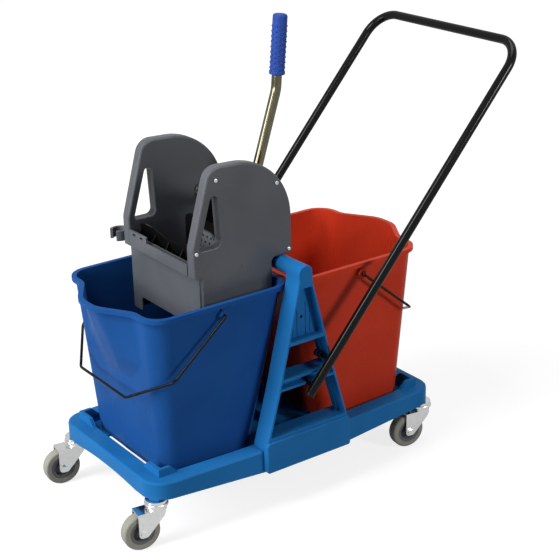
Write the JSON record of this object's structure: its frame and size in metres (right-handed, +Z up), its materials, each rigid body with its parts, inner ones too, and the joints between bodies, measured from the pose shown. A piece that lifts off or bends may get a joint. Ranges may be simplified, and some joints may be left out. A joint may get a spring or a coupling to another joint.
{
  "type": "double-bucket mopping trolley",
  "caption": "Mopping trolley on castors with a blue and a red bucket, a grey lever press wringer, A-shaped side frames and a bent tube push handle.",
  "frame": {"origin": "middle of the overall box, on the floor", "axes": "+X from the press end to the push handle, +Y across to the far side, +Z up"},
  "size_m": [1.0112, 0.4948, 1.0029],
  "materials": {
    "base_blue": "satin",
    "bucket_blue": "satin",
    "bucket_red": "satin",
    "press_grey": "satin",
    "black_plastic": "matt",
    "black_tube": "gloss",
    "chrome_lever": "polished",
    "grip_blue": "matt",
    "zinc": "zinc plated",
    "steel_fasteners": "plain",
    "tyre_grey": "matt",
    "hub_grey": "satin"
  },
  "bodies": {
    "chassis": {"front_tray": "base_blue", "rear_tray": "base_blue", "near_side_frame": "base_blue", "far_side_frame": "base_blue", "foot_screws": "steel_fasteners", "crossbar": "base_blue", "push_handle": "black_tube", "handle_bolts": "steel_fasteners", "handle_spacers": "black_plastic", "handle_knobs": "black_plastic", "handle_end_plugs": "black_plastic", "front_near_castor_mount": "zinc", "front_far_castor_mount": "zinc", "rear_near_castor_mount": "zinc", "rear_far_castor_mount": "zinc"},
    "front_near_swivel": {"front_near_castor_fork": "zinc", "front_near_castor_axle": "zinc"},
    "front_near_wheel": {"front_near_castor_tyre": "tyre_grey", "front_near_castor_hub": "hub_grey"},
    "front_far_swivel": {"front_far_castor_fork": "zinc", "front_far_castor_axle": "zinc"},
    "front_far_wheel": {"front_far_castor_tyre": "tyre_grey", "front_far_castor_hub": "hub_grey"},
    "rear_near_swivel": {"rear_near_castor_fork": "zinc", "rear_near_castor_axle": "zinc"},
    "rear_near_wheel": {"rear_near_castor_tyre": "tyre_grey", "rear_near_castor_hub": "hub_grey"},
    "rear_far_swivel": {"rear_far_castor_fork": "zinc", "rear_far_castor_axle": "zinc"},
    "rear_far_wheel": {"rear_far_castor_tyre": "tyre_grey", "rear_far_castor_hub": "hub_grey"},
    "blue_bucket_body": {"blue_bucket": "bucket_blue"},
    "blue_bail_body": {"blue_bail": "black_tube"},
    "red_bucket_body": {"red_bucket": "bucket_red"},
    "red_bail_body": {"red_bail": "black_tube"},
    "press": {"press_near_plate": "press_grey", "press_far_plate": "press_grey", "press_front_panel": "press_grey", "press_rear_panel": "press_grey", "press_fixed_jaw": "black_plastic", "press_screws": "steel_fasteners", "jaw_shaft": "steel_fasteners", "mop_clip": "press_grey"},
    "lever": {"press_jaw": "black_plastic", "jaw_face": "press_grey", "lever_tube": "chrome_lever", "lever_grip": "grip_blue", "lever_bolts": "steel_fasteners"}
  },
  "joints": [
    {"name": "front_near_swivel_turn", "type": "hinge", "parent": "chassis", "child": "front_near_swivel", "pos_m": [-0.42737, -0.171, 0.105], "axis": [0, 0, 1], "continuous": true},
    {"name": "front_near_wheel_roll", "type": "hinge", "parent": "front_near_swivel", "child": "front_near_wheel", "pos_m": [-0.465, -0.16571, 0.04], "axis": [0.1392, 0.9903, 0], "continuous": true},
    {"name": "front_far_swivel_turn", "type": "hinge", "parent": "chassis", "child": "front_far_swivel", "pos_m": [-0.42737, 0.171, 0.105], "axis": [0, 0, 1], "continuous": true},
    {"name": "front_far_wheel_roll", "type": "hinge", "parent": "front_far_swivel", "child": "front_far_wheel", "pos_m": [-0.465, 0.17629, 0.04], "axis": [0.1392, 0.9903, 0], "continuous": true},
    {"name": "rear_near_swivel_turn", "type": "hinge", "parent": "chassis", "child": "rear_near_swivel", "pos_m": [0.28063, -0.171, 0.105], "axis": [0, 0, 1], "continuous": true},
    {"name": "rear_near_wheel_roll", "type": "hinge", "parent": "rear_near_swivel", "child": "rear_near_wheel", "pos_m": [0.243, -0.16571, 0.04], "axis": [0.1392, 0.9903, 0], "continuous": true},
    {"name": "rear_far_swivel_turn", "type": "hinge", "parent": "chassis", "child": "rear_far_swivel", "pos_m": [0.28063, 0.171, 0.105], "axis": [0, 0, 1], "continuous": true},
    {"name": "rear_far_wheel_roll", "type": "hinge", "parent": "rear_far_swivel", "child": "rear_far_wheel", "pos_m": [0.243, 0.17629, 0.04], "axis": [0.1392, 0.9903, 0], "continuous": true},
    {"name": "blue_bucket_lift", "type": "slide", "parent": "chassis", "child": "blue_bucket_body", "axis": [-0.4848, 0, 0.8746], "range_m": [0, 0.3]},
    {"name": "blue_bail_swing", "type": "hinge", "parent": "blue_bucket_body", "child": "blue_bail_body", "pos_m": [-0.25037, 0, 0.463], "axis": [0, 1, 0], "range_deg": [0, 90]},
    {"name": "press_lift", "type": "slide", "parent": "blue_bucket_body", "child": "press", "axis": [0, 0, 1], "range_m": [0, 0.2]},
    {"name": "press_lever_pull", "type": "hinge", "parent": "press", "child": "lever", "pos_m": [-0.15837, 0, 0.425], "axis": [0, -1, 0], "range_deg": [0, 24]},
    {"name": "red_bucket_lift", "type": "slide", "parent": "chassis", "child": "red_bucket_body", "axis": [0.4848, 0, 0.8746], "range_m": [0, 0.3]},
    {"name": "red_bail_swing", "type": "hinge", "parent": "red_bucket_body", "child": "red_bail_body", "pos_m": [0.10363, 0, 0.463], "axis": [0, -1, 0], "range_deg": [0, 130]}
  ]
}
